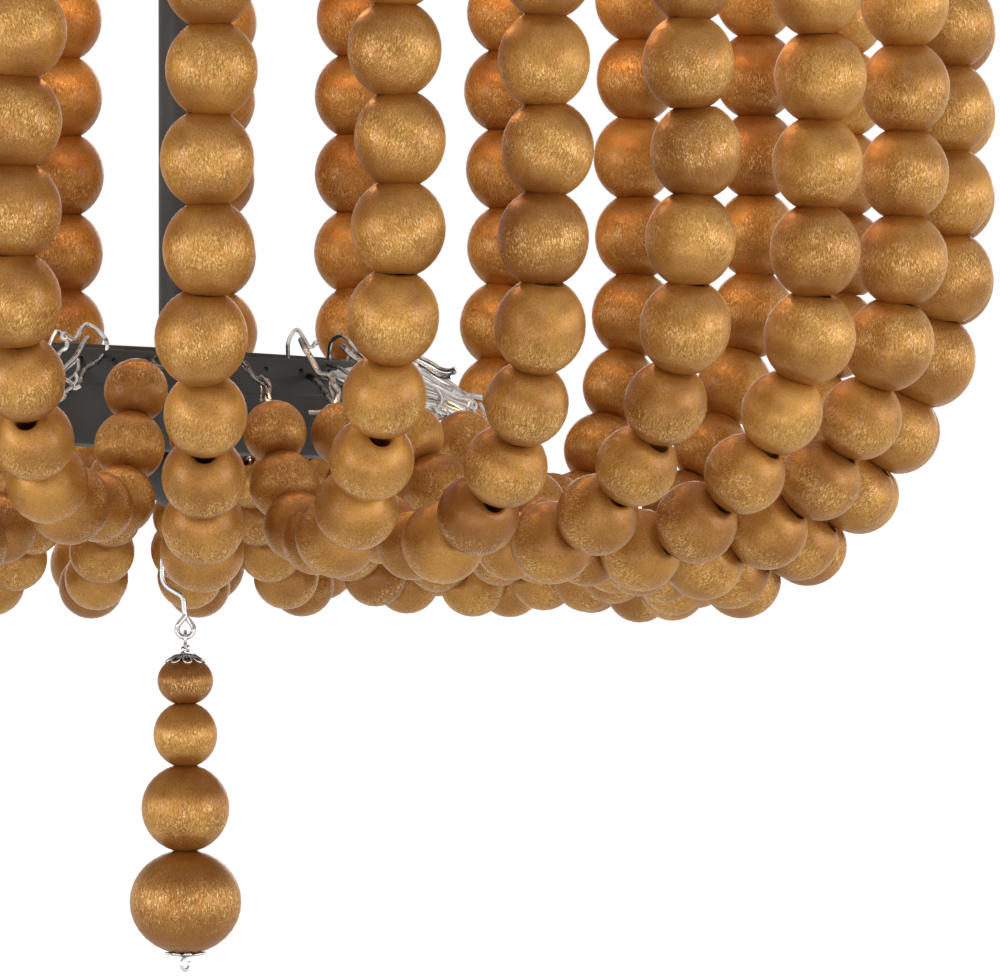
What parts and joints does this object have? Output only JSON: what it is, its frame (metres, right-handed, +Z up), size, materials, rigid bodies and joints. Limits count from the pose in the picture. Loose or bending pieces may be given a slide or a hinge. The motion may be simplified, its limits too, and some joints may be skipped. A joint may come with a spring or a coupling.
{
  "type": "beaded chandelier",
  "caption": "Round chandelier: a basket of strung wooden beads on a black iron frame, candle lamps inside, a bead drop below and a short chain up to a ceiling rose.",
  "frame": {"origin": "the middle of the mounting bar's flat top, which lies against the ceiling", "axes": "+Z up out of the ceiling face, -Y towards the side the picture shows, +X to the right there"},
  "size_m": [0.4646, 0.4647, 0.642],
  "materials": {
    "bead_wood": "satin",
    "iron": "matte black",
    "bright_wire": "bright",
    "sleeve": "matte",
    "bulb_glass": "clear, warm"
  },
  "bodies": {
    "ceiling": {"mounting_bar": "bright_wire", "ceiling_rose": "iron", "rose_loop": "iron"},
    "link_1": {"chain_link_1": "iron"},
    "link_2": {"chain_link_2": "iron"},
    "link_3": {"chain_link_3": "iron"},
    "chandelier": {"top_loop": "iron", "upper_stem": "iron", "top_frame": "iron", "lower_stem": "iron", "lamp_body": "iron", "candle_sleeve_1": "sleeve", "candle_sleeve_2": "sleeve", "candle_sleeve_3": "sleeve", "candle_sleeve_4": "sleeve", "candle_bulb_1": "bulb_glass", "candle_bulb_2": "bulb_glass", "candle_bulb_3": "bulb_glass", "candle_bulb_4": "bulb_glass", "hub_cup": "iron", "hub_knob": "iron", "hook_eye": "bright_wire", "bead_strand_01": "bead_wood", "bead_strand_02": "bead_wood", "bead_strand_03": "bead_wood", "bead_strand_04": "bead_wood", "bead_strand_05": "bead_wood", "bead_strand_06": "bead_wood", "bead_strand_07": "bead_wood", "bead_strand_08": "bead_wood", "bead_strand_09": "bead_wood", "bead_strand_10": "bead_wood", "bead_strand_11": "bead_wood", "bead_strand_12": "bead_wood", "bead_strand_13": "bead_wood", "bead_strand_14": "bead_wood", "bead_strand_15": "bead_wood", "bead_strand_16": "bead_wood", "bead_strand_17": "bead_wood", "bead_strand_18": "bead_wood", "bead_strand_19": "bead_wood", "bead_strand_20": "bead_wood", "bead_strand_21": "bead_wood", "bead_strand_22": "bead_wood", "bead_strand_23": "bead_wood", "bead_strand_24": "bead_wood", "bead_strand_25": "bead_wood", "bead_strand_26": "bead_wood", "bead_strand_27": "bead_wood", "bead_strand_28": "bead_wood"},
    "hook": {"s_hook": "bright_wire"},
    "drop": {"drop_pin": "bright_wire", "drop_cap_top": "bright_wire", "drop_cap_bottom": "bright_wire"},
    "bead_1": {"drop_bead_1": "bead_wood"},
    "bead_2": {"drop_bead_2": "bead_wood"},
    "bead_3": {"drop_bead_3": "bead_wood"},
    "bead_4": {"drop_bead_4": "bead_wood"}
  },
  "joints": [
    {"name": "chain_swing_1", "type": "hinge", "parent": "ceiling", "child": "link_1", "pos_m": [0, 0, -0.0603], "axis": [1, 0, 0], "range_deg": [-15, 15]},
    {"name": "chain_swing_2", "type": "hinge", "parent": "link_1", "child": "link_2", "pos_m": [0, 0, -0.0895], "axis": [0, 1, 0], "range_deg": [-15, 15]},
    {"name": "chain_swing_3", "type": "hinge", "parent": "link_2", "child": "link_3", "pos_m": [0, 0, -0.1187], "axis": [1, 0, 0], "range_deg": [-15, 15]},
    {"name": "chain_swing_4", "type": "hinge", "parent": "link_3", "child": "chandelier", "pos_m": [0, 0, -0.1479], "axis": [0, 1, 0], "range_deg": [-15, 15]},
    {"name": "hook_swing", "type": "hinge", "parent": "chandelier", "child": "hook", "pos_m": [0, 0, -0.5213], "axis": [0, 1, 0], "range_deg": [-25, 25]},
    {"name": "drop_swing", "type": "hinge", "parent": "hook", "child": "drop", "pos_m": [0, 0, -0.54697], "axis": [1, 0, 0], "range_deg": [-35, 35]},
    {"name": "bead_1_turn", "type": "hinge", "parent": "drop", "child": "bead_1", "pos_m": [0, 0, -0.55897], "axis": [0, 0, 1], "continuous": true},
    {"name": "bead_2_turn", "type": "hinge", "parent": "drop", "child": "bead_2", "pos_m": [0, 0, -0.57897], "axis": [0, 0, 1], "continuous": true},
    {"name": "bead_3_turn", "type": "hinge", "parent": "drop", "child": "bead_3", "pos_m": [0, 0, -0.59897], "axis": [0, 0, 1], "continuous": true},
    {"name": "bead_4_turn", "type": "hinge", "parent": "drop", "child": "bead_4", "pos_m": [0, 0, -0.61897], "axis": [0, 0, 1], "continuous": true}
  ]
}
